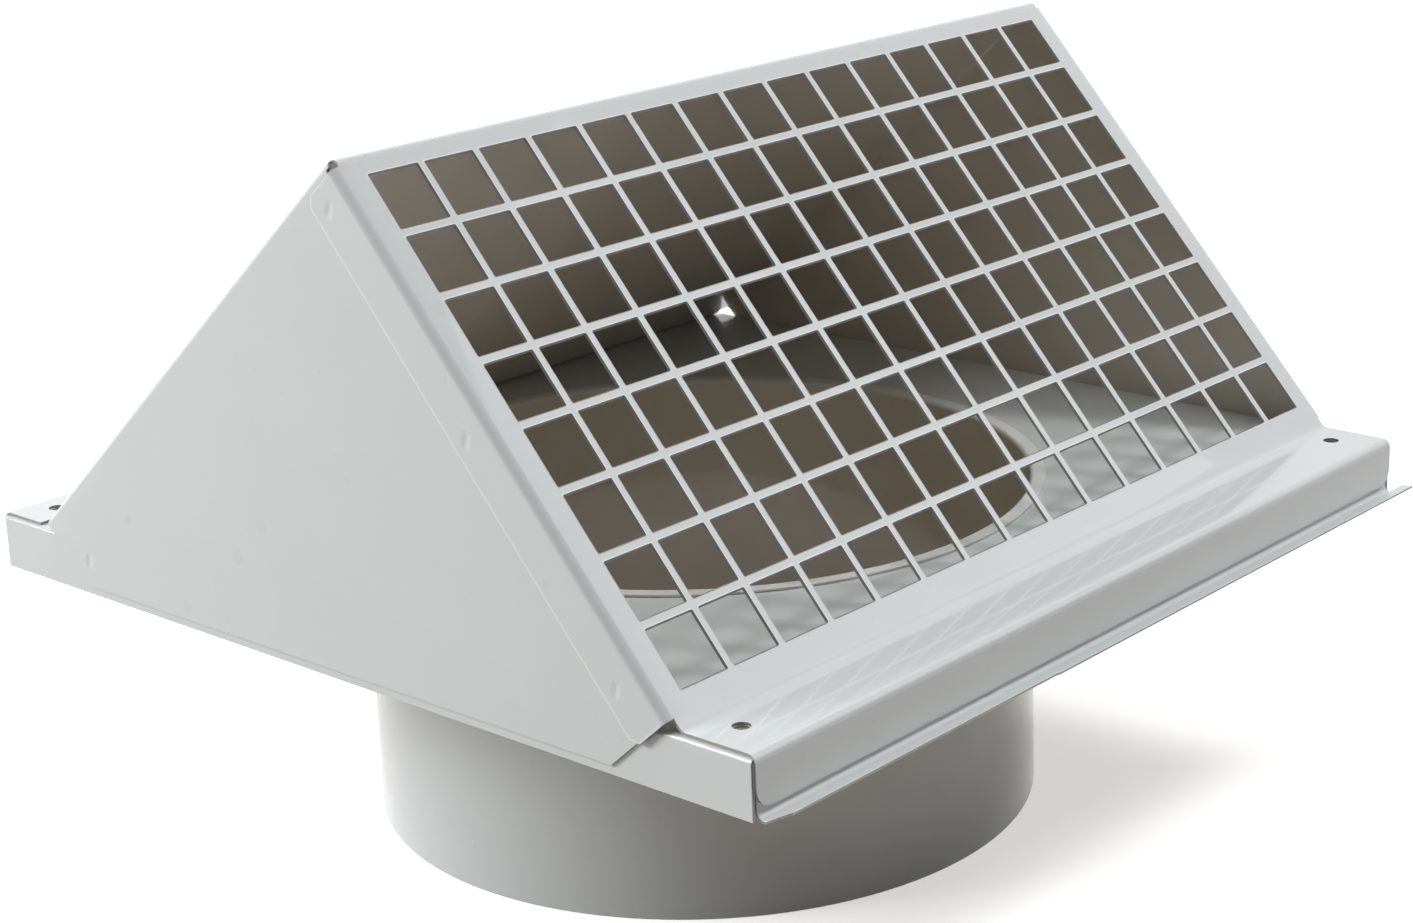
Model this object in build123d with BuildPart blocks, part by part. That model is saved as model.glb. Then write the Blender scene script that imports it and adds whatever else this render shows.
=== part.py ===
# Wall vent hood for a round duct: a folded hood with a punched grille, a base pan and a duct collar.
# It stands on the open end of its collar. X runs along the ridge, the grille faces -Y, Z is the collar's axis.
# On the wall the collar points into the building and the grille faces down and out.
import os
from math import cos, radians, sin, tan

from build123d import *

# Sheet: pre-painted steel, with a thin film of paint between lapped faces
sheet = 0.55
lap = 0.1

# Collar
collar_diameter = 152.0
floor_height = 72.8
collar_bend = 1.1
collar_flange = 3.0

# Base pan
pan_width = 224.0
pan_front = 114.2
pan_back = 107.8
pan_depth = 12.0
pan_bend = 1.2
lip_width = 4.0
lip_bend = 1.5
lip_tilt = 8.0
lip_tail = 5.7
lip_tail_inset = 2.0
lip_trim_length = 5.2
lip_trim_depth = 1.4
lip_step = 0.3
lip_second_step = 85.3

# Screw holes through ledge and pan
screw_hole = 3.6
hole_side_inset = 9.0
hole_front_inset = 10.0
hole_back_inset = 7.0

# Hood
front_ledge = 17.25
back_ledge = 16.0
grille_angle = 48.5
ridge_bend = 1.35
foot_bend = 2.0
cheek_bend = 1.25
skirt_height = 10.5
skirt_corner = 4.0
cheek_lap = 10.5
cheek_cut = 3.4
cheek_back_cut = 14.0
cheek_clearance = 0.3
corner_relief = 2.5
flange_width = 11.0
flange_cut = 2.8
flange_top_gap = 2.2
flange_corner = 1.8

# Grille
columns = 15
rows = 8
pitch_across = 14.3
pitch_down = 14.45
opening = 12.7
grille_top_margin = 5.15

# Levels and widths that follow from the sizes above
collar_radius = collar_diameter / 2
pan_half = pan_width / 2
pan_bottom = floor_height - pan_depth
ledge_top = floor_height + lap + sheet
cheek_inner = pan_half + lap
cheek_outer = cheek_inner + sheet
flange_inner = cheek_outer + lap
flange_outer = flange_inner + sheet
strip_half = cheek_outer - cheek_bend
flange_bend = flange_outer - strip_half
hood_front = pan_front + lap + sheet
hood_back = pan_back + lap + sheet
ledge_bend = pan_bend + lap + sheet
grille_foot = -hood_front + front_ledge
roof_foot = hood_back - back_ledge
roof_angle = 90 - grille_angle
grille_length = (roof_foot - grille_foot) * cos(radians(grille_angle))
roof_length = (roof_foot - grille_foot) * cos(radians(roof_angle))
ridge_y = grille_foot + grille_length * cos(radians(grille_angle))
ridge_top = ledge_top + grille_length * sin(radians(grille_angle))
foot_tangent = foot_bend * tan(radians(roof_angle) / 2)

# Planes of the two slopes: origin at the sharp ridge, local X along the ridge, local Y up the slope
grille_plane = Plane(
    origin=(0, ridge_y, ridge_top),
    x_dir=(1, 0, 0),
    z_dir=(0, -sin(radians(grille_angle)), cos(radians(grille_angle))),
)
roof_plane = Plane(
    origin=(0, ridge_y, ridge_top),
    x_dir=(-1, 0, 0),
    z_dir=(0, sin(radians(roof_angle)), cos(radians(roof_angle))),
)


def side_point(plane, along, depth):
    """Point of the side view, in (y, z): so far down a slope from the ridge, and so deep under its face."""
    point = plane.from_local_coords((0, -along, -depth))
    return (point.Y, point.Z)


def screw_points():
    """The four screw places, shared by the hood's ledges and the pan."""
    hole_x = pan_half - hole_side_inset
    front_y = -pan_front + hole_front_inset
    back_y = pan_back - hole_back_inset
    return [(-hole_x, front_y), (hole_x, front_y), (-hole_x, back_y), (hole_x, back_y)]


os.makedirs("parts", exist_ok=True)

# Collar: a rolled tube whose upper end is turned out over the rim of the pan's hole
flange_top = floor_height + lap + sheet
with BuildPart() as collar:
    with BuildSketch(Plane.XZ):
        with BuildLine():
            FilletPolyline(
                (collar_radius - sheet, 0),
                (collar_radius - sheet, flange_top),
                (collar_radius + collar_flange, flange_top),
                radius=collar_bend,
            )
            offset(amount=sheet, side=Side.RIGHT)
        make_face()
    revolve(axis=Axis.Z)
collar.part.label = "collar"
export_step(collar.part, "parts/collar.step")

# Base pan: an upside-down shallow tray with open corners and an outward lip along its front flange
pan_x_end = pan_half - pan_bend
lip_corner = pan_bottom + sheet
lip_tip = lip_corner + lip_width * tan(radians(lip_tilt))
with BuildPart() as base_pan:
    with BuildSketch(Plane.XZ.offset(pan_front - pan_bend)):
        with BuildLine():
            FilletPolyline(
                (pan_half, pan_bottom),
                (pan_half, floor_height),
                (-pan_half, floor_height),
                (-pan_half, pan_bottom),
                radius=pan_bend,
            )
            offset(amount=sheet, side=Side.LEFT)
        make_face()
    extrude(amount=-(pan_front + pan_back - 2 * pan_bend))
    # The side flanges run on to the pan's outline at both ends
    flange_drop = pan_depth - pan_bend
    with BuildSketch(Plane.XZ.offset(pan_front)):
        for side in (-1, 1):
            with Locations((side * (pan_half - sheet / 2), pan_bottom + flange_drop / 2)):
                Rectangle(sheet, flange_drop)
    extrude(amount=-(pan_front + pan_back))
    with BuildSketch(Plane.YZ):
        with BuildLine():
            FilletPolyline(
                (pan_back, pan_bottom),
                (pan_back, floor_height),
                (-pan_front, floor_height),
                (-pan_front, lip_corner),
                (-pan_front - lip_width, lip_tip),
                radius=(pan_bend, pan_bend, lip_bend),
            )
            offset(amount=sheet, side=Side.LEFT)
        make_face()
    extrude(amount=pan_x_end, both=True)
    # The lip runs on past the right end of its flange as a short flat tail
    with BuildSketch(Plane.YZ.offset(pan_x_end)):
        with BuildLine():
            Polyline(
                (-pan_front + lip_tail_inset, lip_corner),
                (-pan_front, lip_corner),
                (-pan_front - lip_width, lip_tip),
            )
            offset(amount=sheet, side=Side.LEFT)
        make_face()
    extrude(amount=lip_tail)
    # The lip's edge is sheared in three strokes: a slanted one at the left end, then two with small steps
    lip_edge = -pan_front - lip_width
    with BuildSketch(Plane.XY.offset(pan_bottom - sheet)):
        with BuildLine():
            Polyline(
                (-pan_x_end, lip_edge + 2 * lip_step + lip_trim_depth),
                (-pan_x_end + lip_trim_length, lip_edge + 2 * lip_step),
                (-pan_x_end + lip_trim_length, lip_edge + lip_step),
                (-pan_x_end + lip_second_step, lip_edge + lip_step),
                (-pan_x_end + lip_second_step, lip_edge - lip_width),
                (-pan_x_end, lip_edge - lip_width),
                close=True,
            )
        make_face()
    extrude(amount=pan_depth, mode=Mode.SUBTRACT)
    # Duct hole, wide enough for the bend under the collar's flange, and the screw holes
    with BuildSketch(Plane.XY.offset(floor_height)):
        Circle(collar_radius + collar_bend - sheet + lap)
        with Locations(screw_points()):
            Circle(screw_hole / 2)
    extrude(amount=-2 * sheet, mode=Mode.SUBTRACT)
base_pan.part.label = "base_pan"
export_step(base_pan.part, "parts/base_pan.step")

# Hood: one sheet folded over the ridge, with cheeks from the roof's sides and flanges from the grille's sides
with BuildPart() as hood:
    with BuildSketch(Plane.YZ):
        with BuildLine():
            FilletPolyline(
                (hood_back, ledge_top - skirt_height),
                (hood_back, ledge_top),
                (roof_foot, ledge_top),
                (ridge_y, ridge_top),
                (grille_foot, ledge_top),
                (-hood_front, ledge_top),
                (-hood_front, ledge_top - skirt_height),
                radius=(ledge_bend, foot_bend, ridge_bend, foot_bend, ledge_bend),
            )
            offset(amount=sheet, side=Side.LEFT)
        make_face()
    extrude(amount=strip_half, both=True)
    # Skirt corners are rounded
    skirt_ends = hood.edges().filter_by(Axis.Y).group_by(Axis.Z)[0]
    fillet(skirt_ends, radius=skirt_corner)
    # Punched openings of the grille
    first_row = grille_top_margin + opening / 2
    grid_middle = first_row + (rows - 1) * pitch_down / 2
    with BuildSketch(grille_plane.offset(sheet)):
        with Locations((0, -grid_middle)):
            with GridLocations(pitch_across, pitch_down, columns, rows):
                Rectangle(opening, opening)
    extrude(amount=-3 * sheet, mode=Mode.SUBTRACT)
    # Cheek folds: quarter bends along both edges of the roof, then the cheeks below them
    cheek_start = side_point(roof_plane, roof_length - foot_tangent, 0)
    fold_length = roof_length - foot_tangent - ridge_bend
    roof_section = Plane(
        origin=(0, cheek_start[0], cheek_start[1]),
        x_dir=(1, 0, 0),
        z_dir=roof_plane.y_dir,
    )
    with BuildSketch(roof_section):
        for side in (-1, 1):
            with BuildLine():
                outer = CenterArc((side * strip_half, -cheek_bend), cheek_bend, 90, -side * 90)
                inner = CenterArc((side * strip_half, -cheek_bend), cheek_bend - sheet, 90, -side * 90)
                Line(outer @ 0, inner @ 0)
                Line(outer @ 1, inner @ 1)
            make_face()
    extrude(amount=fold_length)
    cheek_depth = flange_bend + cheek_clearance
    cheek_foot = ledge_top - cheek_lap
    cheek_end = grille_length - cheek_cut
    front_foot = side_point(grille_plane, cheek_end, cheek_depth)
    cut_drop = (front_foot[1] - cheek_foot) / cos(radians(grille_angle))
    cut_end = side_point(grille_plane, cheek_end, cheek_depth + cut_drop)
    roof_foot_fold = side_point(roof_plane, roof_length - foot_tangent, cheek_bend)
    ridge_fold = side_point(roof_plane, cheek_depth, cheek_bend)
    for side in (-1, 1):
        with BuildSketch(Plane.YZ.offset(side * cheek_inner)):
            with BuildLine():
                Polyline(
                    ridge_fold,
                    front_foot,
                    cut_end,
                    (roof_foot - cheek_back_cut, cheek_foot),
                    roof_foot_fold,
                    close=True,
                )
            make_face()
        extrude(amount=side * sheet)
    # Grille flanges: quarter bends along the grille's sides, then strips that lap over the cheeks
    flange_end = grille_length - flange_cut
    flange_low = side_point(grille_plane, flange_end, 0)
    grille_section = Plane(
        origin=(0, flange_low[0], flange_low[1]),
        x_dir=(-1, 0, 0),
        z_dir=grille_plane.y_dir,
    )
    with BuildSketch(grille_section):
        for side in (-1, 1):
            with BuildLine():
                outer = CenterArc((side * strip_half, -flange_bend), flange_bend, 90, -side * 90)
                inner = CenterArc((side * strip_half, -flange_bend), flange_bend - sheet, 90, -side * 90)
                Line(outer @ 0, inner @ 0)
                Line(outer @ 1, inner @ 1)
            make_face()
    extrude(amount=flange_end - flange_top_gap)
    for side in (-1, 1):
        with BuildSketch(Plane.YZ.offset(side * flange_inner)):
            with BuildLine():
                Polyline(
                    side_point(grille_plane, flange_top_gap, flange_bend),
                    side_point(grille_plane, flange_end, flange_bend),
                    side_point(grille_plane, flange_end, flange_width - flange_corner),
                    side_point(grille_plane, flange_end - flange_corner, flange_width),
                    side_point(grille_plane, flange_top_gap + flange_corner, flange_width),
                    side_point(grille_plane, flange_top_gap, flange_width - flange_corner),
                    close=True,
                )
            make_face()
        extrude(amount=side * sheet)
    # Round reliefs where the roof, cheek and back ledge folds meet
    relief_inner = strip_half - corner_relief
    for side in (-1, 1):
        with BuildSketch(Plane.YZ.offset(side * relief_inner)):
            with Locations((roof_foot, ledge_top)):
                Circle(corner_relief)
        extrude(amount=side * (flange_outer - relief_inner), mode=Mode.SUBTRACT)
    # Screw holes through the front and back ledges
    with BuildSketch(Plane.XY.offset(ledge_top)):
        with Locations(screw_points()):
            Circle(screw_hole / 2)
    extrude(amount=-sheet, mode=Mode.SUBTRACT)
hood.part.label = "hood"
export_step(hood.part, "parts/hood.step")
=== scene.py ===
# A wall vent hood for a round duct, folded from steel sheet that is painted white on one side and
# taupe on the other. It stands on the open end of its collar, with the grille towards the camera.
from math import cos, pi, radians, sin, tan

import bmesh
import bpy
from mathutils import Euler, Matrix, Vector


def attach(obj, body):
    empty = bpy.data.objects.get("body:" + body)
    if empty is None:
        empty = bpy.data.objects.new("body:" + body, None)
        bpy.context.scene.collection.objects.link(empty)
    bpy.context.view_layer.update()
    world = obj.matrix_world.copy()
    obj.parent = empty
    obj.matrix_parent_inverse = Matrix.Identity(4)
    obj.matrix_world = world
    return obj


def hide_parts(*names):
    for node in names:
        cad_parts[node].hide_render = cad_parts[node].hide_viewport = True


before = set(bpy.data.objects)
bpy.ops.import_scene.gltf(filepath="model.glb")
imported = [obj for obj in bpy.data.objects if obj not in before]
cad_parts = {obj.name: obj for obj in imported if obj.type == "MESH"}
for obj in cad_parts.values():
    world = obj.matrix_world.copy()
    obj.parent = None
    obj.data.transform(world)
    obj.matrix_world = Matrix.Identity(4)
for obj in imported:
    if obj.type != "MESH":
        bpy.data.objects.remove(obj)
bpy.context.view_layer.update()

# Collar. A strip of the painted sheet rolled into a tube and joined edge to edge, white side out. Its upper
# end is turned outwards over the rim of the pan's hole, and a thin smear of white sealant covers that flange.
SHEET = 0.55  # millimetres, as are all the sizes of the sheet pieces
METRE = 1000
WELD = 0.001  # points closer than this become one
NEAR = 0.01  # points closer than this to a line or plane lie on it
COLLAR_RADIUS = 76.0
FLANGE_UNDERSIDE = 72.9
FLANGE_REACH = 3.0
FLANGE_STEPS = 3
ROUND_STEPS = 144
CUT_EDGE_ANGLE = 50  # degrees, more than any bend turns from one face to the next


def unique(items):
    """Drops repeats and keeps the order."""
    return list(dict.fromkeys(items))


def wire(bm, points):
    """A row of points joined by edges, as the start of a folded profile."""
    verts = [bm.verts.new(point) for point in points]
    return [bm.edges.new(pair) for pair in zip(verts, verts[1:])]


def edge_ends(edges):
    """The points that a row of edges runs through."""
    return unique(vert for edge in edges for vert in edge.verts)


def paint_group():
    """The coat of paint: waves, ripple and orange peel as a height, a drift of shade with blots, and specks."""
    group = bpy.data.node_groups.new("coil_coat", "ShaderNodeTree")
    for name in ("Height", "Cloud", "Speck"):
        group.interface.new_socket(name, in_out="OUTPUT", socket_type="NodeSocketFloat")
    nodes, links = group.nodes, group.links
    out = nodes.new("NodeGroupOutput")
    place = nodes.new("ShaderNodeTexCoord")

    def noise(scale, detail):
        node = nodes.new("ShaderNodeTexNoise")
        node.inputs["Scale"].default_value = scale
        node.inputs["Detail"].default_value = detail
        links.new(place.outputs["Object"], node.inputs["Vector"])
        return node.outputs["Fac"]

    def math(operation, first, second):
        node = nodes.new("ShaderNodeMath")
        node.operation = operation
        for socket, value in zip(node.inputs, (first, second)):
            if isinstance(value, float):
                socket.default_value = value
            else:
                links.new(value, socket)
        return node.outputs[0]

    wave = math("MULTIPLY", noise(scale=14.0, detail=1.0), 0.8)
    ripple = math("MULTIPLY", noise(scale=170.0, detail=1.0), 0.06)
    peel = math("MULTIPLY", noise(scale=900.0, detail=2.0), 0.005)
    links.new(math("ADD", math("ADD", wave, ripple), peel), out.inputs["Height"])
    spots = nodes.new("ShaderNodeTexVoronoi")
    spots.inputs["Scale"].default_value = 60.0
    links.new(place.outputs["Object"], spots.inputs["Vector"])
    blot = math("MULTIPLY", math("LESS_THAN", spots.outputs["Distance"], 0.1), 0.5)
    links.new(math("SUBTRACT", noise(scale=40.0, detail=5.0), blot), out.inputs["Cloud"])
    speck = math("MULTIPLY", math("GREATER_THAN", noise(scale=1100.0, detail=0.0), 0.84), 0.35)
    links.new(speck, out.inputs["Speck"])
    return group


def painted(name, light, dark, speck, roughness, shine, gloss):
    """A coat of paint on the sheet. Its colour drifts a little between two shades and holds a few specks."""
    material = bpy.data.materials.new(name)
    material.use_nodes = True
    nodes, links = material.node_tree.nodes, material.node_tree.links
    shader = nodes["Principled BSDF"]
    shader.inputs["Roughness"].default_value = roughness
    shader.inputs["Specular IOR Level"].default_value = shine
    shader.inputs["Coat Weight"].default_value = gloss
    shader.inputs["Coat Roughness"].default_value = 0.03
    coat = nodes.new("ShaderNodeGroup")
    coat.node_tree = coil_coat
    shades = nodes.new("ShaderNodeMix")
    shades.data_type = "RGBA"
    shades.inputs["A"].default_value = (*dark, 1)
    shades.inputs["B"].default_value = (*light, 1)
    links.new(coat.outputs["Cloud"], shades.inputs["Factor"])
    dots = nodes.new("ShaderNodeMix")
    dots.data_type = "RGBA"
    dots.inputs["B"].default_value = (*speck, 1)
    links.new(coat.outputs["Speck"], dots.inputs["Factor"])
    links.new(shades.outputs["Result"], dots.inputs["A"])
    links.new(dots.outputs["Result"], shader.inputs["Base Color"])
    bump = nodes.new("ShaderNodeBump")
    bump.inputs["Strength"].default_value = 0.25
    bump.inputs["Distance"].default_value = 0.0006
    links.new(coat.outputs["Height"], bump.inputs["Height"])
    links.new(bump.outputs["Normal"], shader.inputs["Normal"])
    return material


def finish_sheet(bm, outwards, name, node, coats, edge_round):
    """Turns a folded skin's white side out, gives it thickness and soft cut edges, and lets it stand for its solid.

    The coats are those of the outside and the inside, any extra ones, the rounded edges' painted highlight and the cut
    edges'.
    """
    bmesh.ops.remove_doubles(bm, verts=bm.verts, dist=WELD)
    bmesh.ops.recalc_face_normals(bm, faces=bm.faces)
    if sum(outwards(face) for face in bm.faces) < 0:
        bmesh.ops.reverse_faces(bm, faces=bm.faces)
    bmesh.ops.scale(bm, verts=bm.verts, vec=[1 / METRE] * 3)
    for face in bm.faces:
        face.smooth = True
    mesh = bpy.data.meshes.new(name)
    bm.to_mesh(mesh)
    bm.free()
    for coat in coats:
        mesh.materials.append(coat)
    piece = bpy.data.objects.new(name, mesh)
    bpy.context.collection.objects.link(piece)
    wall = piece.modifiers.new("sheet", "SOLIDIFY")
    wall.thickness = SHEET / METRE
    wall.offset = -1
    wall.use_even_offset = True
    wall.material_offset = 1
    wall.material_offset_rim = len(coats) - 1
    edge = piece.modifiers.new("cut_edge", "BEVEL")
    edge.width = edge_round / METRE
    edge.segments = 2
    edge.limit_method = "ANGLE"
    edge.angle_limit = radians(CUT_EDGE_ANGLE)
    # The rounded edges take the painted highlight coat
    edge.material = len(coats) - 2
    flat = piece.modifiers.new("flat_faces", "WEIGHTED_NORMAL")
    flat.mode = "FACE_AREA"
    flat.weight = 50
    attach(piece, "root")
    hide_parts(node)


coil_coat = paint_group()
white_coat = painted(
    "white_coat", light=(0.725, 0.76, 0.77), dark=(0.68, 0.715, 0.725), speck=(0.60, 0.59, 0.57),
    roughness=0.3, shine=0.15, gloss=0.8)
taupe_coat = painted(
    "taupe_coat", light=(0.76, 0.70, 0.61), dark=(0.72, 0.665, 0.575), speck=(0.50, 0.45, 0.39),
    roughness=0.3, shine=0.5, gloss=0.6)
# A lighter copy of the white coat: a painted highlight on the rounded edges, the flange's free edges and the grille's
# rolled edges
painted_highlight = painted(
    "painted_highlight", light=(0.86, 0.88, 0.885), dark=(0.83, 0.85, 0.855), speck=(0.60, 0.59, 0.57),
    roughness=0.3, shine=0.15, gloss=0.8)
white_sealant = painted(
    "white_sealant", light=(0.85, 0.85, 0.83), dark=(0.70, 0.70, 0.68), speck=(0.30, 0.24, 0.18),
    roughness=0.5, shine=0.3, gloss=0.2)

bm = bmesh.new()
outline = wire(bm, [
    (COLLAR_RADIUS, 0, 0),
    (COLLAR_RADIUS, 0, FLANGE_UNDERSIDE),
    (COLLAR_RADIUS + FLANGE_REACH, 0, FLANGE_UNDERSIDE),
])
bmesh.ops.spin(
    bm, geom=edge_ends(outline) + outline, axis=(0, 0, 1), angle=2 * pi, steps=ROUND_STEPS, use_merge=True)
turn = [edge for edge in bm.edges
        if all(vert.co.z > FLANGE_UNDERSIDE - NEAR and vert.co.xy.length < COLLAR_RADIUS + NEAR for vert in edge.verts)]
bmesh.ops.bevel(bm, geom=turn, offset=SHEET, affect="EDGES", segments=FLANGE_STEPS, profile=0.5, material=-1)
# The inside of the flange, one coat further on, takes the sealant
for face in bm.faces:
    face.material_index = int(face.calc_center_median().z > FLANGE_UNDERSIDE - SHEET)
finish_sheet(
    bm, lambda face: face.normal.xy.dot(face.calc_center_median().xy), "duct_collar", "collar",
    [white_coat, taupe_coat, white_sealant, painted_highlight, white_sealant], edge_round=0.12)

# Base pan. A blank with a round hole, its four sides bent down and its corners left open, white side up.
# The front side ends in a narrow lip bent outwards, which runs on past the right-hand corner as a flat tail.
PAN_HALF = 112.0
PAN_FRONT = -114.2
PAN_BACK = 107.8
PAN_TOP = 72.8
PAN_BOTTOM = 60.8
PAN_BEND = 1.2
BEND_STEPS = 6
FLAT = 0.999  # a face whose normal has this share of a direction faces that way
DUCT_HOLE = 76.65
SCREW_RADIUS = 1.8
SCREW_STEPS = 24
SCREW_HALF = 103.0
SCREW_ROWS = (-104.2, 100.8)
LIP_BEND = 1.5
LIP_TILT = 8.0
LIP_WIDTH = 4.0
LIP_TAIL = 5.7
TAIL_START = 1.0
SLANT_END = -105.6
SLANT_DEPTH = 0.6
SLANT_FALL = 1.4
STEP_END = -25.5
STEP_DEPTH = 0.3
STEP_RUN = 0.1
SIDE_CLINCH = (76.0, 68.8)
CLINCH_WIDTH = 2.6
CLINCH_LENGTH = 4.4
CLINCH_DEPTH = 0.13
CLINCH_TILT = 12
CLINCH_CORNER = CLINCH_WIDTH * 0.45
CLINCH_STEPS = 4
CLINCH_RINGS = ((0.1, 0), (0.55, CLINCH_DEPTH / 2), (0.5, CLINCH_DEPTH / 2))


def bare_steel(name, colour, roughness):
    """The sheared edge of the sheet, where the zinc and steel show as a thin grey line, darkened as painted shade in
    the walls of the openings and along the edges.
    """
    material = bpy.data.materials.new(name)
    material.use_nodes = True
    nodes, links = material.node_tree.nodes, material.node_tree.links
    shader = nodes["Principled BSDF"]
    shader.inputs["Metallic"].default_value = 0.3
    coat = nodes.new("ShaderNodeGroup")
    coat.node_tree = coil_coat
    tone = nodes.new("ShaderNodeMix")
    tone.data_type = "RGBA"
    tone.inputs["A"].default_value = (*[part * 0.8 for part in colour], 1)
    tone.inputs["B"].default_value = (*colour, 1)
    links.new(coat.outputs["Cloud"], tone.inputs["Factor"])
    links.new(tone.outputs["Result"], shader.inputs["Base Color"])
    rough = nodes.new("ShaderNodeMapRange")
    rough.inputs["To Min"].default_value = roughness - 0.1
    rough.inputs["To Max"].default_value = roughness + 0.1
    links.new(coat.outputs["Cloud"], rough.inputs["Value"])
    links.new(rough.outputs["Result"], shader.inputs["Roughness"])
    return material


def upwards(face):
    """How much a face adds to the sheet's upper side."""
    return face.normal.z * face.calc_area()


def bend(bm, edges, pivot, axis, angle):
    """Folds on from a row of edges round a bend, and returns the bend's last edges."""
    done = bmesh.ops.spin(
        bm, geom=edge_ends(edges) + edges, cent=pivot, axis=axis, angle=radians(angle), steps=BEND_STEPS)
    return [item for item in done["geom_last"] if isinstance(item, bmesh.types.BMEdge)]


def run_on(bm, edges, along):
    """Carries the sheet on flat from a row of edges, and returns its new edges."""
    made = bmesh.ops.extrude_edge_only(bm, edges=edges)["geom"]
    bmesh.ops.translate(bm, verts=[item for item in made if isinstance(item, bmesh.types.BMVert)], vec=along)
    return [item for item in made if isinstance(item, bmesh.types.BMEdge) and len(item.link_faces) == 1
            and all(vert in made for vert in item.verts)]


def ring(bm, centre, radius, steps, height):
    """A round loop of edges for a punched hole."""
    made = bmesh.ops.create_circle(
        bm, cap_ends=False, radius=radius, segments=steps, matrix=Matrix.Translation((*centre, height)))
    return unique(edge for vert in made["verts"] for edge in vert.link_edges)


def screw_row(bm, y, height):
    """The loops of two screw holes in a row across the sheet."""
    return [edge for x in (-SCREW_HALF, SCREW_HALF) for edge in ring(bm, (x, y), SCREW_RADIUS, SCREW_STEPS, height)]


def cut(bm, faces, point, normal):
    """Scores some faces along a plane."""
    edges = unique(edge for face in faces for edge in face.edges)
    bmesh.ops.bisect_plane(
        bm, geom=faces + edges + edge_ends(edges), dist=0.0001, plane_co=point, plane_no=normal)


def press_clinch(bm, x, y, z):
    """Presses a small oval clinch mark into a flat side of the sheet, the way a clinching tool holds two layers."""
    centre = Vector((x, y, z))
    across = Vector((0, cos(radians(CLINCH_TILT)), sin(radians(CLINCH_TILT))))
    along = Vector((0, -across.z, across.y))

    def mark():
        return [face for face in bm.faces
                if abs(face.normal.x) > FLAT and abs(face.calc_center_median().x - x) < NEAR
                and bmesh.geometry.intersect_face_point(face, centre)]

    for axis, half in ((across, CLINCH_WIDTH / 2), (along, CLINCH_LENGTH / 2)):
        for end in (-half, half):
            cut(bm, mark(), centre + axis * end, axis)
    corners = unique(vert for face in mark() for vert in face.verts)
    bmesh.ops.bevel(
        bm, geom=corners, offset=CLINCH_CORNER, affect="VERTICES", segments=CLINCH_STEPS, profile=0.5, material=-1)
    dish = mark()
    inward = -1 if dish[0].normal.x * x > 0 else 1
    for width, depth in CLINCH_RINGS:
        bmesh.ops.inset_individual(bm, faces=dish, thickness=width, depth=inward * depth, use_even_offset=True)


# Bare steel grey on the cut edges, kept dark as painted shade in the walls of the openings
cut_steel_and_shade = bare_steel("cut_steel_and_shade", colour=(0.34, 0.33, 0.31), roughness=0.45)

bm = bmesh.new()
left, right = -PAN_HALF + PAN_BEND, PAN_HALF - PAN_BEND
front, back = PAN_FRONT + PAN_BEND, PAN_BACK - PAN_BEND
rim = wire(bm, [(left, front, PAN_TOP), (right, front, PAN_TOP), (right, back, PAN_TOP), (left, back, PAN_TOP)])
rim.append(bm.edges.new((rim[-1].verts[1], rim[0].verts[0])))
loops = rim + ring(bm, (0, 0), DUCT_HOLE, ROUND_STEPS, PAN_TOP)
for row in SCREW_ROWS:
    loops += screw_row(bm, row, PAN_TOP)
bmesh.ops.triangle_fill(bm, edges=loops, use_beauty=True, normal=(0, 0, 1))

# Side skirts, which reach past the pan's bends as far as the front and back skirts
bent = PAN_TOP - PAN_BEND
drop = Vector((0, 0, PAN_BOTTOM - bent))
for side, rim_edge in ((1, rim[1]), (-1, rim[3])):
    run_on(bm, bend(bm, [rim_edge], (side * right, 0, bent), (0, 1, 0), 90 * side), drop)
for vert in bm.verts:
    if abs(vert.co.x) > right + PAN_BEND / 2:
        vert.co.y += PAN_BEND if vert.co.y > 0 else -PAN_BEND
for side in (-1, 1):
    press_clinch(bm, side * PAN_HALF, *SIDE_CLINCH)

# Back skirt, and the front skirt with its lip
run_on(bm, bend(bm, [rim[2]], (0, back, bent), (1, 0, 0), -90), drop)
lip_turn = 90 - LIP_TILT
lip_setback = LIP_BEND * tan(radians(lip_turn) / 2)
lip_start = PAN_BOTTOM + SHEET + lip_setback
lip_along = Vector((0, -cos(radians(LIP_TILT)), sin(radians(LIP_TILT))))
front_skirt = run_on(bm, bend(bm, [rim[0]], (0, front, bent), (1, 0, 0), 90), (0, 0, lip_start - bent))
lip = bend(bm, front_skirt, (0, PAN_FRONT - LIP_BEND, lip_start), (1, 0, 0), -lip_turn)
run_on(bm, lip, lip_along * (LIP_WIDTH / cos(radians(LIP_TILT)) - lip_setback))
lip_end = [edge for edge in bm.edges
           if all(abs(vert.co.x - right) < NEAR and vert.co.y < PAN_FRONT - TAIL_START for vert in edge.verts)]
run_on(bm, lip_end, (LIP_TAIL, 0, 0))

# The lip's edge is sheared in three strokes: a slanted one at the left end, then two with a small step between
for stroke_end in (SLANT_END, STEP_END):
    for x in (stroke_end, stroke_end + STEP_RUN):
        lip_faces = [face for face in bm.faces if face.calc_center_median().y < PAN_FRONT - LIP_BEND]
        cut(bm, lip_faces, (x, 0, 0), (1, 0, 0))
for vert in bm.verts:
    if vert.co.y < PAN_FRONT - LIP_WIDTH + NEAR and vert.co.x < STEP_END + STEP_RUN / 2:
        trim = STEP_DEPTH
        if vert.co.x < SLANT_END + STEP_RUN / 2:
            trim = SLANT_DEPTH + SLANT_FALL * (SLANT_END - vert.co.x) / (SLANT_END - left)
        vert.co -= lip_along * trim
finish_sheet(
    bm, upwards, "wall_pan", "base_pan",
    [white_coat, taupe_coat, painted_highlight, cut_steel_and_shade], edge_round=0.12)

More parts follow.
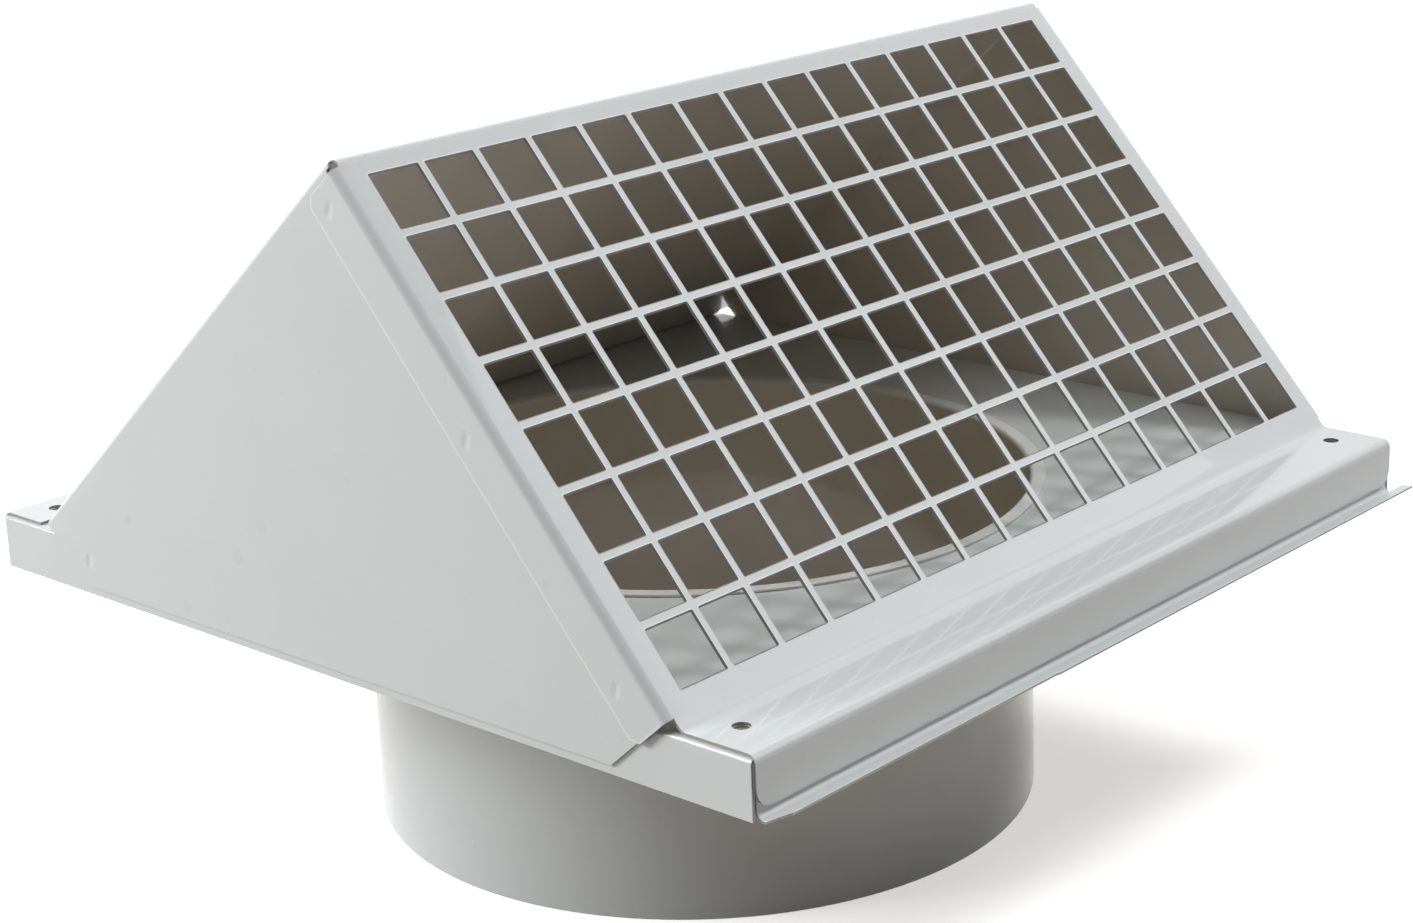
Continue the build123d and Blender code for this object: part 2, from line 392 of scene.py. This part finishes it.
# Hood. One blank folded over the ridge: skirt, ledge and grille in front, roof, ledge and skirt behind, white
# side out. Cheeks are bent down from the roof's sides and narrow flanges from the grille's sides lap over them.
LEDGE = 73.45
LEDGE_REACH = 5.0
GRILLE_FOOT = -97.6
ROOF_FOOT = 92.45
GRILLE_ANGLE = 48.5
GRILLE_LENGTH = (ROOF_FOOT - GRILLE_FOOT) * cos(radians(GRILLE_ANGLE))
ROOF_LENGTH = (ROOF_FOOT - GRILLE_FOOT) * sin(radians(GRILLE_ANGLE))
RIDGE_Y = GRILLE_FOOT + GRILLE_LENGTH * cos(radians(GRILLE_ANGLE))
RIDGE_Z = LEDGE + GRILLE_LENGTH * sin(radians(GRILLE_ANGLE))
SLOPE_NEAR = 0.05
HOOD_FRONT = -114.85
HOOD_BACK = 108.45
SKIRT_FOOT = LEDGE - 10.5
SKIRT_CORNER = 4.0
SKIRT_STEPS = 6
STRIP_HALF = 111.4
LEDGE_BEND = 1.85
FOOT_BEND = 2.0
RIDGE_BEND = 1.35
RELIEF = 2.5
CHEEK_BEND = 1.25
CHEEK_END = GRILLE_LENGTH - 3.4
CHEEK_INSET = 2.2
CHEEK_BACK = 14.0
FLANGE_BEND = 1.9
FLANGE_WIDTH = 11.0
FLANGE_TOP = 2.2
FLANGE_END = GRILLE_LENGTH - 2.8
FLANGE_CORNER = 1.8
FLANGE_CLINCHES = [(-13.9, 157.9), (-47.9, 118.9), (-83.4, 78.5)]
# Width and coat of the painted highlight strips along the edges
HIGHLIGHT_BAND = 0.4
HIGHLIGHT_COAT = 2
ROWS = 8
COLUMNS = 15
ROW_PITCH = 14.45
COLUMN_PITCH = 14.3
GRILLE_TOP = 4.28
GRILLE_HALF = COLUMNS / 2 * COLUMN_PITCH
BAR = 1.6
CELL_CORNER = 0.6
CELL_STEPS = 3
CELL_AREA = 100.0  # less than a whole cell, and far more than a piece of bar
ROLL = 0.3
ROLL_SINKS = (0.03, 0.09)

grille_up = Vector((0, RIDGE_Y - GRILLE_FOOT, RIDGE_Z - LEDGE)).normalized()
grille_out = Vector((0, -grille_up.z, grille_up.y))
roof_up = Vector((0, RIDGE_Y - ROOF_FOOT, RIDGE_Z - LEDGE)).normalized()
roof_out = Vector((0, roof_up.z, -roof_up.y))
ridge = Vector((0, RIDGE_Y, RIDGE_Z))


def slope_faces(bm, out):
    """The flat faces of the slope that runs down from the ridge and faces out."""
    return [face for face in bm.faces
            if abs((face.calc_center_median() - ridge).dot(out)) < SLOPE_NEAR and abs(face.normal.dot(out)) > FLAT]


def slope_side(bm, out, side):
    """The edge along one side of a slope's largest face."""
    slope = max(slope_faces(bm, out), key=lambda face: face.calc_area())
    return [edge for edge in slope.edges if all(abs(vert.co.x - side * STRIP_HALF) < NEAR for vert in edge.verts)]


def foot_strip(bm, relief_top):
    """The strip of sheet round the fold at the roof's foot, as high as the corner reliefs."""
    return [face for face in bm.faces
            if relief_top.y < face.calc_center_median().y < ROOF_FOOT + RELIEF
            and face.calc_center_median().z < relief_top.z]


bm = bmesh.new()
profile = wire(bm, [(-STRIP_HALF, y, z) for y, z in (
    (HOOD_BACK, SKIRT_FOOT), (HOOD_BACK, LEDGE), (ROOF_FOOT, LEDGE), (RIDGE_Y, RIDGE_Z),
    (GRILLE_FOOT, LEDGE), (HOOD_FRONT, LEDGE), (HOOD_FRONT, SKIRT_FOOT),
)])
run_on(bm, profile, (2 * STRIP_HALF, 0, 0))
for y, radius, turned in (
    (HOOD_BACK, LEDGE_BEND, 90), (HOOD_FRONT, LEDGE_BEND, 90), (RIDGE_Y, RIDGE_BEND, 90),
    (ROOF_FOOT, FOOT_BEND, 90 - GRILLE_ANGLE), (GRILLE_FOOT, FOOT_BEND, GRILLE_ANGLE),
):
    folds = [edge for edge in bm.edges
             if all(abs(vert.co.y - y) < NEAR and vert.co.z > SKIRT_FOOT + NEAR for vert in edge.verts)]
    bmesh.ops.bevel(
        bm, geom=folds, offset=radius * tan(radians(turned) / 2), affect="EDGES", segments=BEND_STEPS,
        profile=0.5, material=-1)

# Corner reliefs at the roof's foot: the fold and a little sheet on both sides of it are notched out
relief_top = ridge - roof_up * (ROOF_LENGTH - RELIEF)
cut(bm, slope_faces(bm, roof_out), relief_top, roof_up)
back_ledge = [face for face in bm.faces if face.calc_center_median().y > ROOF_FOOT and abs(face.normal.z) > FLAT]
cut(bm, back_ledge, (0, ROOF_FOOT + RELIEF, 0), (0, 1, 0))
for side in (-1, 1):
    cut(bm, foot_strip(bm, relief_top), (side * (STRIP_HALF - RELIEF), 0, 0), (side, 0, 0))
notches = [face for face in foot_strip(bm, relief_top) if abs(face.calc_center_median().x) > STRIP_HALF - RELIEF]
bmesh.ops.delete(bm, geom=notches, context="FACES")

# Cheeks and flanges, bent down from the sides of the two slopes, with their clinch marks
for end in (FLANGE_TOP, FLANGE_END):
    cut(bm, slope_faces(bm, grille_out), ridge - grille_up * end, grille_up)
for side in (-1, 1):
    ridge_end = ridge + Vector((side * STRIP_HALF, 0, 0))
    cheek_edge = bend(
        bm, slope_side(bm, roof_out, side), ridge_end - roof_out * CHEEK_BEND, roof_up, -90 * side)[0]
    high, low = sorted(cheek_edge.verts, key=lambda vert: -vert.co.z)
    cheek_x = high.co.x
    top = ridge - roof_up * CHEEK_INSET - roof_out * CHEEK_BEND
    corner = ridge - grille_up * CHEEK_END - grille_out * CHEEK_INSET
    foot = corner - grille_out * ((corner.z - SKIRT_FOOT) / grille_out.z)
    cheek_points = (top.yz, corner.yz, foot.yz, (ROOF_FOOT - CHEEK_BACK, SKIRT_FOOT))
    bm.faces.new([high] + [bm.verts.new((cheek_x, *point)) for point in cheek_points] + [low])
    flange_edge = bend(
        bm, slope_side(bm, grille_out, side), ridge_end - grille_out * FLANGE_BEND, grille_up, 90 * side)
    free_edge = run_on(bm, flange_edge, -grille_out * (FLANGE_WIDTH - FLANGE_BEND))
    bmesh.ops.bevel(
        bm, geom=edge_ends(free_edge), offset=FLANGE_CORNER, affect="VERTICES", segments=1, profile=0.5, material=-1)
    flange_x = side * (STRIP_HALF + FLANGE_BEND)
    flange = [face for face in bm.faces if abs(face.calc_center_median().x - flange_x) < NEAR]
    # A narrow strip along the flange's free edges takes the painted highlight, the light line of an edge that catches
    # the light
    highlight_strip = bmesh.ops.inset_individual(bm, faces=flange, thickness=HIGHLIGHT_BAND, use_even_offset=True)["faces"]
    for face in highlight_strip:
        if (ridge - face.calc_center_median()).dot(grille_out) > FLANGE_BEND + HIGHLIGHT_BAND:
            face.material_index = HIGHLIGHT_COAT
    for y, z in FLANGE_CLINCHES:
        press_clinch(bm, flange_x, y, z)
        press_clinch(bm, cheek_x, y, z)
    press_clinch(bm, cheek_x, *SIDE_CLINCH)

# Rounded lower corners of the two skirts, and the screw holes through the ledges
skirt_corners = [vert for vert in bm.verts
                 if abs(vert.co.z - SKIRT_FOOT) < NEAR and abs(abs(vert.co.x) - STRIP_HALF) < NEAR]
bmesh.ops.bevel(
    bm, geom=skirt_corners, offset=SKIRT_CORNER, affect="VERTICES", segments=SKIRT_STEPS, profile=0.5, material=-1)
for row in SCREW_ROWS:
    ledge = [face for face in bm.faces
             if abs(face.normal.z) > FLAT and abs(face.calc_center_median().y - row) < LEDGE_REACH]
    loops = [edge for face in ledge for edge in face.edges]
    bmesh.ops.delete(bm, geom=ledge, context="FACES_ONLY")
    loops += screw_row(bm, row, LEDGE)
    bmesh.ops.triangle_fill(bm, edges=loops, use_beauty=True, normal=(0, 0, 1))

# Punched grille: cells marked out on the slope, shrunk to leave the bars, and knocked out. The punch rolls their edges
# in, and these rolled edges take the painted highlight coat
lines = [(ridge - grille_up * (GRILLE_TOP + row * ROW_PITCH), grille_up) for row in range(ROWS + 1)]
lines += [((column * COLUMN_PITCH - GRILLE_HALF, 0, 0), (1, 0, 0)) for column in range(COLUMNS + 1)]
for point, normal in lines:
    cut(bm, slope_faces(bm, grille_out), point, normal)
cells = [face for face in slope_faces(bm, grille_out) if abs(face.calc_center_median().x) < GRILLE_HALF
         and 0 < (ridge - face.calc_center_median()).dot(grille_up) - GRILLE_TOP < ROWS * ROW_PITCH]
bmesh.ops.inset_individual(bm, faces=cells, thickness=BAR / 2 - ROLL, use_even_offset=True)
corners = unique(vert for face in cells for vert in face.verts)
bmesh.ops.bevel(
    bm, geom=corners, offset=CELL_CORNER, affect="VERTICES", segments=CELL_STEPS, profile=0.5, material=-1)
cells = [face for face in slope_faces(bm, grille_out) if abs(face.calc_center_median().x) < GRILLE_HALF
         and face.calc_area() > CELL_AREA and len(face.verts) > 4 * CELL_STEPS]
# The rolled edges take the painted highlight coat
for sink in ROLL_SINKS:
    rolled = bmesh.ops.inset_individual(
        bm, faces=cells, thickness=ROLL / len(ROLL_SINKS), depth=-sink, use_even_offset=True)["faces"]
    for face in rolled:
        face.material_index = HIGHLIGHT_COAT
bmesh.ops.delete(bm, geom=cells, context="FACES_ONLY")
finish_sheet(
    bm, upwards, "folded_hood", "hood",
    [white_coat, taupe_coat, painted_highlight, cut_steel_and_shade], edge_round=0.1)

# Studio. A pale floor that takes the soft shadow, a white surround and four area lamps. The floor is white to the
# camera and in the gloss, darker in the light that it throws back, and clear from below to show the underside.
FLOOR_HALF = 6.0  # metres, as are all the sizes of the studio
LAMP_AIM = Vector((0, 0, 0.09))

bpy.context.scene.view_settings.view_transform = "Standard"
floor_mesh = bpy.data.meshes.new("studio_floor")
bm = bmesh.new()
bmesh.ops.create_grid(bm, x_segments=1, y_segments=1, size=FLOOR_HALF)
bm.to_mesh(floor_mesh)
bm.free()
studio_floor = bpy.data.objects.new("studio_floor", floor_mesh)
bpy.context.collection.objects.link(studio_floor)
pale = bpy.data.materials.new("pale_floor")
pale.use_nodes = True
pale_nodes, pale_links = pale.node_tree.nodes, pale.node_tree.links
pale_shader = pale_nodes["Principled BSDF"]
pale_shader.inputs["Roughness"].default_value = 0.9
pale_shader.inputs["Emission Color"].default_value = (1, 1, 1, 1)
floor_path = pale_nodes.new("ShaderNodeLightPath")
seen = pale_nodes.new("ShaderNodeMath")
seen.operation = "ADD"
seen.use_clamp = True
pale_links.new(floor_path.outputs["Is Camera Ray"], seen.inputs[0])
pale_links.new(floor_path.outputs["Is Glossy Ray"], seen.inputs[1])
floor_colour = pale_nodes.new("ShaderNodeMix")
floor_colour.data_type = "RGBA"
floor_colour.inputs["A"].default_value = (0.25, 0.222, 0.182, 1)
floor_colour.inputs["B"].default_value = (0.95, 0.95, 0.95, 1)
pale_links.new(seen.outputs[0], floor_colour.inputs["Factor"])
pale_links.new(floor_colour.outputs["Result"], pale_shader.inputs["Base Color"])
floor_glow = pale_nodes.new("ShaderNodeMath")
floor_glow.operation = "MULTIPLY"
floor_glow.inputs[1].default_value = 0.5
pale_links.new(seen.outputs[0], floor_glow.inputs[0])
pale_links.new(floor_glow.outputs[0], pale_shader.inputs["Emission Strength"])
floor_side = pale_nodes.new("ShaderNodeNewGeometry")
clear = pale_nodes.new("ShaderNodeBsdfTransparent")
one_sided = pale_nodes.new("ShaderNodeMixShader")
pale_links.new(floor_side.outputs["Backfacing"], one_sided.inputs[0])
pale_links.new(pale_shader.outputs[0], one_sided.inputs[1])
pale_links.new(clear.outputs[0], one_sided.inputs[2])
pale_links.new(one_sided.outputs[0], pale_nodes["Material Output"].inputs["Surface"])
floor_mesh.materials.append(pale)

# Surround: white to the camera, brighter on one side in the gloss, and nearly dark as a light
world = bpy.data.worlds.new("studio")
world.use_nodes = True
bpy.context.scene.world = world
sky_nodes, sky_links = world.node_tree.nodes, world.node_tree.links
sky = sky_nodes["Background"]
sky.inputs["Color"].default_value = (1, 1, 1, 1)
sky_path = sky_nodes.new("ShaderNodeLightPath")
sky_way = sky_nodes.new("ShaderNodeTexCoord")
sky_side = sky_nodes.new("ShaderNodeVectorMath")
sky_side.operation = "DOT_PRODUCT"
sky_side.inputs[1].default_value = (0.72, 0.64, 0.25)
sky_links.new(sky_way.outputs["Generated"], sky_side.inputs[0])
room = sky_nodes.new("ShaderNodeMapRange")
room.inputs["From Min"].default_value = -0.6
room.inputs["From Max"].default_value = 0.5
room.inputs["To Min"].default_value = 0.4
sky_links.new(sky_side.outputs["Value"], room.inputs["Value"])
gloss_level = sky_nodes.new("ShaderNodeMix")
gloss_level.inputs["A"].default_value = 0.08
sky_links.new(sky_path.outputs["Is Glossy Ray"], gloss_level.inputs["Factor"])
sky_links.new(room.outputs["Result"], gloss_level.inputs["B"])
sky_seen = sky_nodes.new("ShaderNodeMath")
sky_seen.operation = "ADD"
sky_seen.use_clamp = True
sky_links.new(sky_path.outputs["Is Camera Ray"], sky_seen.inputs[0])
sky_links.new(sky_path.outputs["Is Transmission Ray"], sky_seen.inputs[1])
sky_level = sky_nodes.new("ShaderNodeMix")
sky_level.inputs["B"].default_value = 1.0
sky_links.new(sky_seen.outputs[0], sky_level.inputs["Factor"])
sky_links.new(gloss_level.outputs["Result"], sky_level.inputs["A"])
sky_links.new(sky_level.outputs["Result"], sky.inputs["Strength"])

# Lamps: where they hang, how wide and strong they are, and whether the gloss mirrors them
for name, place, size, power, mirrored in (
    ("key", (-1.47, 1.38, 1.05), 1.0, 41, True),
    ("front", (1.16, -0.81, 1.9), 0.6, 24, False),
    ("top", (0.1, -0.1, 2.0), 1.2, 13, True),
    ("fill", (0.95, -0.8, 0.95), 0.65, 1.8, True),
):
    light = bpy.data.lights.new(name, "AREA")
    light.size = size
    light.energy = power
    lamp = bpy.data.objects.new(name, light)
    lamp.location = place
    lamp.visible_glossy = mirrored
    lamp.rotation_euler = (LAMP_AIM - Vector(place)).to_track_quat("-Z", "Y").to_euler()
    bpy.context.collection.objects.link(lamp)

# Camera, at the photograph's place. Its values come from a fit to the grille's grid and the pan's edges
# in the photograph.
lens = bpy.data.cameras.new("photo_camera")
lens.sensor_width = 36
lens.lens = 70.716
lens.shift_x = -0.0434
lens.shift_y = -0.0829
camera = bpy.data.objects.new("photo_camera", lens)
camera.location = (-0.44109, -0.41117, 0.26935)
camera.rotation_euler = Euler((radians(74.575), radians(1.784), radians(-49.114)))
bpy.context.collection.objects.link(camera)
bpy.context.scene.camera = camera
